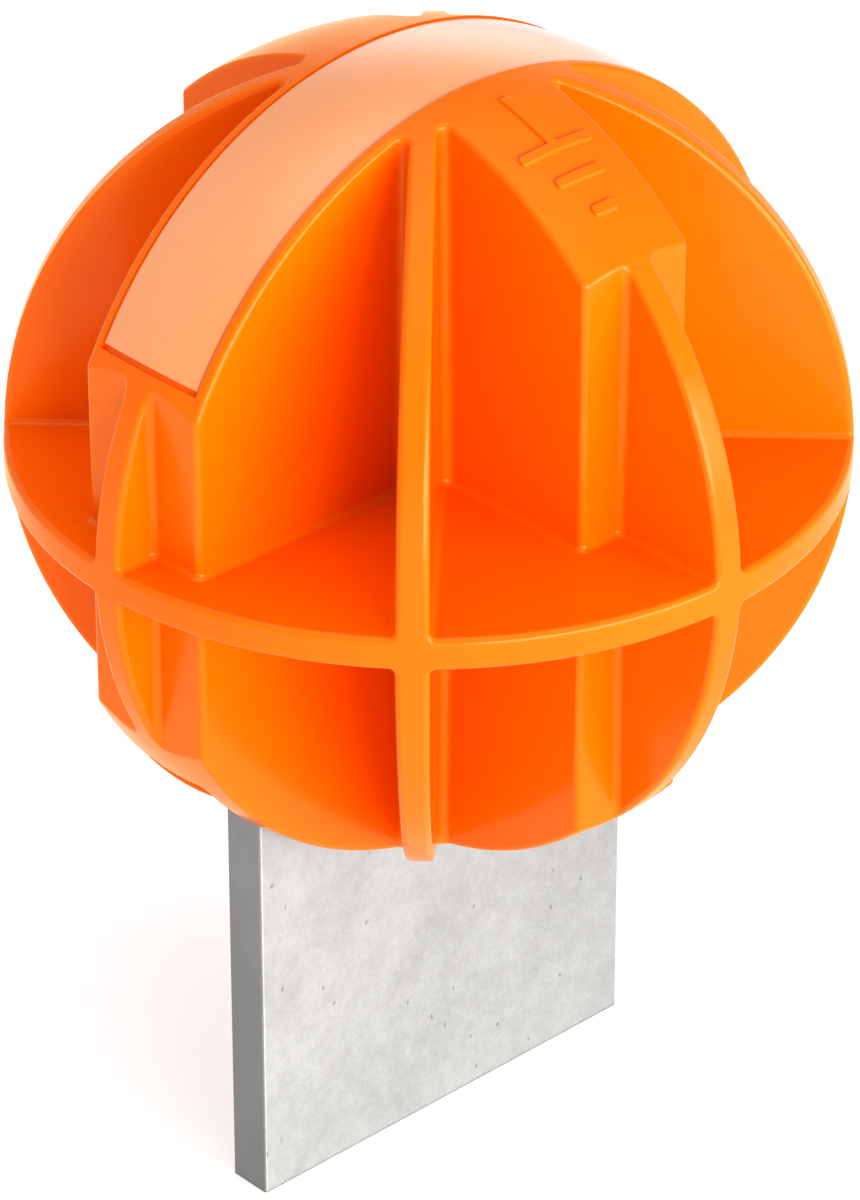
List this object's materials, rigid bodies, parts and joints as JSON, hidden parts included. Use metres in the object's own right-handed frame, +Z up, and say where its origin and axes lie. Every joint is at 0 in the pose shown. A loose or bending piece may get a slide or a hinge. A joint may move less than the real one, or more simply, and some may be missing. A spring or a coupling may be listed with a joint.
{
  "type": "ball-shaped safety cap on an earthing strip",
  "caption": "Ribbed orange ball cap pushed onto the end of an upright flat steel earthing strip, with a reflective band over its top.",
  "frame": {"origin": "middle of the strip's lower end face", "axes": "+X along the strip's width and the longer box arm, +Y through the strip's thickness, +Z up the strip to the ball"},
  "size_m": [0.05, 0.05, 0.0716],
  "materials": {
    "orange_moulding": "semi-gloss signal orange moulding",
    "film": "glossy pale orange reflective film",
    "galvanised_steel": "hot-dip galvanised, faintly mottled"
  },
  "bodies": {
    "strip": {"earthing_strip": "galvanised_steel"},
    "cap": {"ball_cap": "orange_moulding", "reflective_film": "film"}
  },
  "joints": [
    {"name": "cap_pull_off", "type": "slide", "parent": "strip", "child": "cap", "axis": [0, 0, 1], "range_m": [0, 0.045]}
  ]
}
